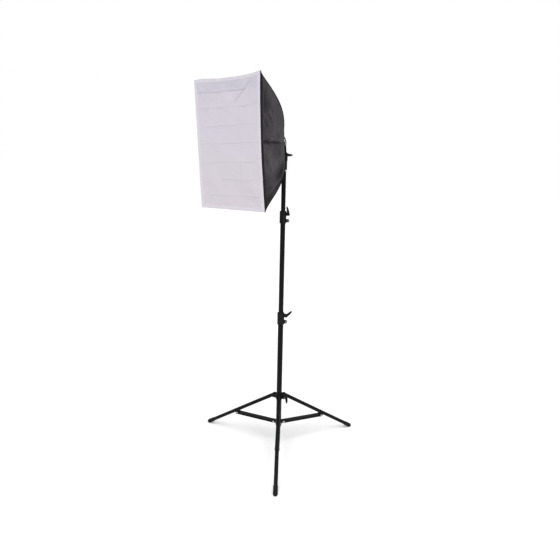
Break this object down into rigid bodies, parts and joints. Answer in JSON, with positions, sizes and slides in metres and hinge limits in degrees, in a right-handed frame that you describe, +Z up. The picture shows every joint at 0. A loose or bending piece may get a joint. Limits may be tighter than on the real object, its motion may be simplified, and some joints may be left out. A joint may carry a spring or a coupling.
{
  "type": "studio softbox on light stand",
  "caption": "Rectangular studio softbox with a white front diffuser and black fabric sides, on a tilting bracket and a telescoping folding tripod stand.",
  "frame": {"origin": "on the floor, under the centre of the object's bounding box", "axes": "+Z up along the column; the softbox's white front looks along -Y, 4 degrees down; +X is at the softbox's left as the light looks out"},
  "size_m": [0.8492, 0.9096, 1.9766],
  "materials": {
    "black_metal": "gloss",
    "black_plastic": "satin",
    "zinc": "satin",
    "rubber": "matte",
    "black_fabric": "satin",
    "white_fabric": "matte",
    "fibreglass": "satin",
    "white_ceramic": "gloss",
    "brass": "satin",
    "white_plastic": "satin",
    "lamp_glass": "gloss"
  },
  "bodies": {
    "base": {"lower_column_tube": "black_metal", "column_end_plug": "rubber", "strut_hub": "black_plastic", "hub_rivet_1": "zinc", "hub_rivet_2": "zinc", "hub_rivet_3": "zinc", "lower_clamp": "black_plastic", "lower_clamp_nut": "zinc", "lower_clamp_bolt": "zinc"},
    "lower_lever": {"lower_clamp_lever": "black_plastic"},
    "strut_1": {"strut_1": "black_metal", "leg_rivet_1": "zinc"},
    "strut_2": {"strut_2": "black_metal", "leg_rivet_2": "zinc"},
    "strut_3": {"strut_3": "black_metal", "leg_rivet_3": "zinc"},
    "leg_1": {"leg_tube_1": "black_metal", "strut_bracket_1": "black_plastic", "foot_1": "rubber"},
    "leg_2": {"leg_tube_2": "black_metal", "strut_bracket_2": "black_plastic", "foot_2": "rubber"},
    "leg_3": {"leg_tube_3": "black_metal", "strut_bracket_3": "black_plastic", "foot_3": "rubber"},
    "collar": {"leg_collar": "black_plastic", "leg_collar_nut": "zinc"},
    "collar_lever": {"leg_collar_lever": "black_plastic"},
    "middle_column": {"middle_column_tube": "black_metal", "upper_clamp": "black_plastic", "upper_clamp_nut": "zinc", "upper_clamp_bolt": "zinc"},
    "upper_lever": {"upper_clamp_lever": "black_plastic"},
    "upper_column": {"upper_column_tube": "black_metal", "spigot": "zinc"},
    "bracket": {"tilt_bracket": "black_plastic", "tilt_nut": "zinc"},
    "lock_knob": {"bracket_lock_knob": "black_plastic"},
    "tilt_handle": {"tilt_lever": "black_plastic"},
    "softbox": {"lamp_holder": "black_plastic", "cable_gland": "black_plastic", "rod_hub": "black_plastic", "lamp_socket": "white_ceramic", "lamp_cap": "brass", "lamp_base": "white_plastic", "lamp_tube": "lamp_glass", "top_panel": "black_fabric", "bottom_panel": "black_fabric", "right_panel": "black_fabric", "left_panel": "black_fabric", "spring_rod_1": "fibreglass", "spring_rod_2": "fibreglass", "spring_rod_3": "fibreglass", "spring_rod_4": "fibreglass", "rod_tip_1": "black_plastic", "rod_tip_2": "black_plastic", "rod_tip_3": "black_plastic", "rod_tip_4": "black_plastic"},
    "switch_rocker": {"power_switch": "black_plastic"},
    "front_diffuser": {"diffuser": "white_fabric"}
  },
  "joints": [
    {"name": "tripod_fold", "type": "hinge", "parent": "base", "child": "strut_1", "pos_m": [0.10408, -0.05429, 0.14], "axis": [-0.766, -0.6428, 0], "range_deg": [0, 90.91]},
    {"name": "strut_2_fold", "type": "hinge", "parent": "base", "child": "strut_2", "pos_m": [0.09596, -0.00823, 0.14], "axis": [0.9397, -0.342, 0], "range_deg": [0, 90.92]},
    {"name": "strut_3_fold", "type": "hinge", "parent": "base", "child": "strut_3", "pos_m": [0.06013, -0.03829, 0.14], "axis": [-0.1736, 0.9848, 0], "range_deg": [0, 90.92]},
    {"name": "leg_1_fold", "type": "hinge", "parent": "strut_1", "child": "leg_1", "pos_m": [0.27088, -0.25308, 0.12681], "axis": [0.766, 0.6428, 0], "range_deg": [0, 146.27]},
    {"name": "leg_2_fold", "type": "hinge", "parent": "strut_2", "child": "leg_2", "pos_m": [0.18471, 0.23562, 0.12681], "axis": [-0.9397, 0.342, 0], "range_deg": [0, 146.27]},
    {"name": "leg_3_fold", "type": "hinge", "parent": "strut_3", "child": "leg_3", "pos_m": [-0.19543, -0.08335, 0.12681], "axis": [0.1736, -0.9848, 0], "range_deg": [0, 146.27]},
    {"name": "collar_slide", "type": "slide", "parent": "base", "child": "collar", "axis": [0, 0, 1], "range_m": [0, 0.4022]},
    {"name": "collar_lever_turn", "type": "hinge", "parent": "collar", "child": "collar_lever", "pos_m": [0.12304, -0.02654, 0.301], "axis": [0.1908, -0.9816, 0], "range_deg": [-5, 70]},
    {"name": "lower_lever_turn", "type": "hinge", "parent": "base", "child": "lower_lever", "pos_m": [0.10786, -0.01523, 0.776], "axis": [-0.6561, 0.7547, 0], "range_deg": [-30, 100]},
    {"name": "middle_slide", "type": "slide", "parent": "base", "child": "middle_column", "axis": [0, 0, 1], "range_m": [-0.48, 0.015]},
    {"name": "upper_lever_turn", "type": "hinge", "parent": "middle_column", "child": "upper_lever", "pos_m": [0.10786, -0.01523, 1.335], "axis": [-0.6561, 0.7547, 0], "range_deg": [-3, 154]},
    {"name": "upper_slide", "type": "slide", "parent": "middle_column", "child": "upper_column", "axis": [0, 0, 1], "range_m": [-0.2, 0.3]},
    {"name": "head_pan", "type": "hinge", "parent": "upper_column", "child": "bracket", "pos_m": [0.08672, -0.0336, 1.59], "axis": [0, 0, 1], "continuous": true},
    {"name": "lock_knob_turn", "type": "hinge", "parent": "bracket", "child": "lock_knob", "pos_m": [0.08672, -0.0336, 1.588], "axis": [1, 0, 0], "continuous": true},
    {"name": "tilt_lever_turn", "type": "hinge", "parent": "bracket", "child": "tilt_handle", "pos_m": [0.08672, -0.0336, 1.644], "axis": [1, 0, 0], "range_deg": [-50, 40]},
    {"name": "head_tilt", "type": "hinge", "parent": "bracket", "child": "softbox", "pos_m": [0.08672, -0.0336, 1.644], "axis": [1, 0, 0], "range_deg": [-60, 30]},
    {"name": "power_switch_rock", "type": "hinge", "parent": "softbox", "child": "switch_rocker", "pos_m": [0.10522, -0.06252, 1.69912], "axis": [1, 0, 0], "range_deg": [-8, 8]},
    {"name": "diffuser_pull", "type": "slide", "parent": "softbox", "child": "front_diffuser", "axis": [0, -0.9976, -0.0698], "range_m": [0, 0.2]}
  ],
  "couplings": [
    {"joint": "strut_2_fold", "follows": "tripod_fold", "ratio": 1},
    {"joint": "strut_3_fold", "follows": "tripod_fold", "ratio": 1},
    {"joint": "leg_1_fold", "follows": "tripod_fold", "ratio": 1.6087},
    {"joint": "leg_2_fold", "follows": "tripod_fold", "ratio": 1.6087},
    {"joint": "leg_3_fold", "follows": "tripod_fold", "ratio": 1.6087},
    {"joint": "collar_slide", "follows": "tripod_fold", "m_per_rad": 0.25345}
  ]
}
